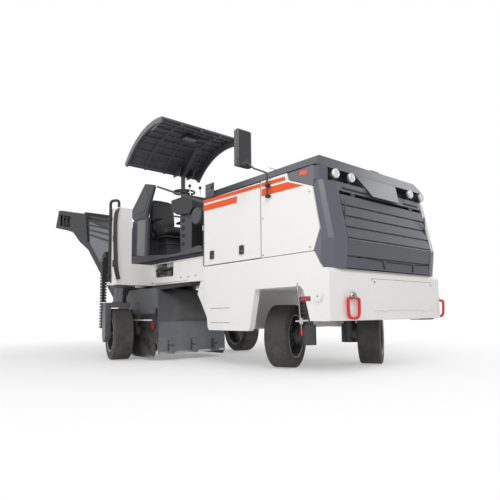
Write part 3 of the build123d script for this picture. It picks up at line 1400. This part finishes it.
# Conveyor: steep lower trough, elbow, collar and flatter upper trough with its guarded head
intake_x = slew_x - 20.0
intake_low_z = 420.0
knee_x = front_x - 5600.0
conv_knee_z = 2060.0
head_x = front_x - 7660.0
head_z = 2800.0
rib_out = 12.0
trunk_line = (
    # behind the steering axes, Z: along the bottom, round the head and back along the top
    (5600.0, 2060.0),
    (6100.0, 2300.0),
    (6500.0, 2560.0),
    (6800.0, 2640.0),
    (7660.0, 2830.0),
    (7470.0, 3230.0),
    (7080.0, 3150.0),
    (6500.0, 3000.0),
    (5750.0, 2840.0),
    (5600.0, 2710.0),
    (4660.0, 2420.0),
    (4300.0, 2320.0),
    (4180.0, 2130.0),
    (4180.0, 1450.0),
)
void_line = (
    (5604.0, 2084.0),
    (6095.0, 2320.0),
    (6498.0, 2582.0),
    (6800.0, 2660.0),
    (7625.0, 2842.0),
    (7456.0, 3206.0),
    (7080.0, 3128.0),
    (6500.0, 2978.0),
    (5760.0, 2820.0),
    (5610.0, 2690.0),
    (4665.0, 2398.0),
    (4312.0, 2300.0),
    (4200.0, 2126.0),
    (4200.0, 1443.0),
)
window_table = (
    # lattice windows of the head: behind the axes at the low edge, width along
    (6700.0, 190.0),
    (6930.0, 190.0),
    (7160.0, 190.0),
)
side_rib_table = (
    # two ends behind the steering axes, with their Z
    (5640.0, 2600.0, 4340.0, 2300.0),
    (5560.0, 2480.0, 4280.0, 2170.0),
    (5480.0, 2360.0, 4280.0, 2040.0),
)
with BuildPart() as conveyor_frame:
    with BuildSketch(Plane.XZ.offset(-conv_y - conv_half)):
        with BuildLine():
            Polyline(
                (intake_x, intake_low_z),
                *[(front_x - x, z) for x, z in trunk_line],
                (intake_x, intake_low_z + 585.0),
                close=True,
            )
        make_face()
    extrude(amount=2 * conv_half)
    with BuildSketch(Plane.XZ.offset(-conv_y - conv_half - 2 * rib_out)):
        with BuildLine():
            Polyline(
                (front_x - 5600.0, 2250.0),
                (front_x - 5680.0, 2240.0),
                (front_x - 5820.0, 2880.0),
                (front_x - 5740.0, 2890.0),
                close=True,
            )
        make_face()
    extrude(amount=2 * conv_half + 4 * rib_out)
    for side in (-1.0, 1.0):
        for x0, z0, x1, z1 in side_rib_table:
            with BuildSketch(Plane.XZ.offset(-conv_y - side * (conv_half + rib_out / 2) - rib_out / 2)):
                with BuildLine():
                    Polyline(
                        (front_x - x0, z0 - 18.0),
                        (front_x - x0, z0 + 18.0),
                        (front_x - x1, z1 + 18.0),
                        (front_x - x1, z1 - 18.0),
                        close=True,
                    )
                make_face()
            extrude(amount=rib_out)
    with BuildSketch(Plane.XZ.offset(-conv_y - conv_half + trunk_wall)):
        with BuildLine():
            Polyline(
                (intake_x + 1.0, intake_low_z + 22.0),
                *[(front_x - x, z) for x, z in void_line],
                (intake_x + 1.0, intake_low_z + 562.0),
                close=True,
            )
        make_face()
    extrude(amount=2 * (conv_half - trunk_wall), mode=Mode.SUBTRACT)
    with BuildSketch(Plane.XZ.offset(-conv_y - conv_half - 1.0)):
        for reach, width in window_table:
            with BuildLine():
                Polyline(
                    (front_x - reach, 2700.0 + 0.22 * (reach - 6700.0)),
                    (front_x - reach - width, 2700.0 + 0.22 * (reach + width - 6700.0)),
                    (front_x - reach - width, 2960.0 + 0.22 * (reach + width - 6700.0)),
                    (front_x - reach, 2960.0 + 0.22 * (reach - 6700.0)),
                    close=True,
                )
            make_face()
    extrude(amount=2 * conv_half + 2.0, mode=Mode.SUBTRACT)
    for side in (-1.0, 1.0):
        with BuildSketch(Plane.XZ.offset(-conv_y - side * (conv_half + (yoke_gap + yoke_t - trunk_wall) / 2) - (yoke_gap + yoke_t + trunk_wall) / 2)):
            with Locations((lift_x, lift_z)):
                Circle(lift_pin_r)
        extrude(amount=yoke_gap + yoke_t + trunk_wall)
        with BuildSketch(Plane.XZ.offset(-conv_y - side * (conv_half + (yoke_gap - move_gap) / 2) - (yoke_gap - move_gap) / 2)):
            with Locations((lift_x, lift_z)):
                Circle(lift_pin_r + 20.0)
        extrude(amount=yoke_gap - move_gap)
    with BuildSketch(Plane.XZ.offset(-cyl_y - cylinder_w / 2 - 5.0)):
        with Locations((eye.X, eye.Z)):
            Circle(cylinder_pin_r)
    extrude(amount=5.0 + cylinder_w / 2 + cyl_y - conv_y - conv_half + trunk_wall)
    with BuildLine() as strut_route:
        Line((front_x - 5660.0, conv_y - conv_half + 30.0, 2780.0), (front_x - 4400.0, conv_y - conv_half + 30.0, 2490.0))
    with BuildSketch(Plane(origin=strut_route.line @ 0, z_dir=strut_route.line % 0)):
        Circle(18.0)
    sweep(path=strut_route.line)
    with BuildSketch(Plane.XZ.offset(-conv_y + conv_half - 50.0)):
        with BuildLine():
            Polyline(
                (front_x - 4400.0, 2340.0),
                (front_x - 4440.0, 2350.0),
                (front_x - 4440.0, 2520.0),
                (front_x - 4390.0, 2510.0),
                close=True,
            )
        make_face()
    extrude(amount=40.0)
conveyor_frame.part.label = "conveyor_frame"
export_step(conveyor_frame.part, "parts/conveyor_frame.step")

# Belt with its end pulleys, as one slab bent along the trough
belt_side_gap = 30.0
pulley_r = 30.0
belt_low = (
    (3700.0, 560.0),
    (5580.0, 2140.0),
    (6080.0, 2385.0),
    (6480.0, 2650.0),
    (6800.0, 2730.0),
    (7560.0, 2895.0),
)
belt_rise = 140.0
with BuildPart() as conveyor_belt:
    with BuildSketch(Plane.XZ.offset(-conv_y - conv_half + trunk_wall + belt_side_gap)):
        with BuildLine():
            Polyline(
                *[(front_x - x, z) for x, z in belt_low],
                *[(front_x - x + 30.0, z + belt_rise) for x, z in reversed(belt_low)],
                close=True,
            )
        make_face()
    extrude(amount=2 * (conv_half - trunk_wall - belt_side_gap))
    with BuildSketch(Plane.XZ.offset(-conv_y - conv_half + trunk_wall)):
        with Locations(
            (front_x - belt_low[0][0] - 60.0, belt_low[0][1] + belt_rise - 20.0),
            (front_x - belt_low[1][0], belt_low[1][1] + belt_rise / 2),
            (front_x - belt_low[5][0] + 60.0, belt_low[5][1] + belt_rise / 2 - 12.0),
        ):
            Circle(pulley_r)
    extrude(amount=2 * (conv_half - trunk_wall))
conveyor_belt.part.label = "conveyor_belt"
export_step(conveyor_belt.part, "parts/conveyor_belt.step")

# Lift cylinder: barrel hung on the slewing bracket, rod drawn into it
reach = eye - foot
cyl_dir = reach.normalized()
barrel_length = 580.0
with BuildPart() as lift_barrel:
    with BuildSketch(Plane.XZ.offset(-cyl_y - cylinder_w / 2)):
        with Locations((foot.X, foot.Z)):
            Circle(cylinder_r + 2.0)
    extrude(amount=cylinder_w)
    with BuildSketch(Plane(origin=foot + cyl_dir * 20.0, x_dir=(0, 1, 0), z_dir=cyl_dir)):
        Circle(cylinder_r)
    extrude(amount=barrel_length - 20.0)
    with BuildSketch(Plane.XZ.offset(-cyl_y - cylinder_w)):
        with Locations((foot.X, foot.Z)):
            Circle(cylinder_pin_r + run_gap)
    extrude(amount=2 * cylinder_w, mode=Mode.SUBTRACT)
    with BuildSketch(Plane(origin=foot + cyl_dir * 100.0, x_dir=(0, 1, 0), z_dir=cyl_dir)):
        Circle(rod_r + run_gap)
    extrude(amount=barrel_length, mode=Mode.SUBTRACT)
lift_barrel.part.label = "lift_barrel"
export_step(lift_barrel.part, "parts/lift_barrel.step")

with BuildPart() as lift_rod:
    with BuildSketch(Plane(origin=foot + cyl_dir * (barrel_length - 250.0), x_dir=(0, 1, 0), z_dir=cyl_dir)):
        Circle(rod_r)
    extrude(amount=reach.length - barrel_length + 250.0 - cylinder_pin_r - 18.0)
    with BuildSketch(Plane.XZ.offset(-cyl_y - cylinder_w / 2)):
        with Locations((eye.X, eye.Z)):
            Circle(cylinder_r)
            Circle(cylinder_pin_r + eye_play, mode=Mode.SUBTRACT)
    extrude(amount=cylinder_w)
lift_rod.part.label = "lift_rod"
export_step(lift_rod.part, "parts/lift_rod.step")
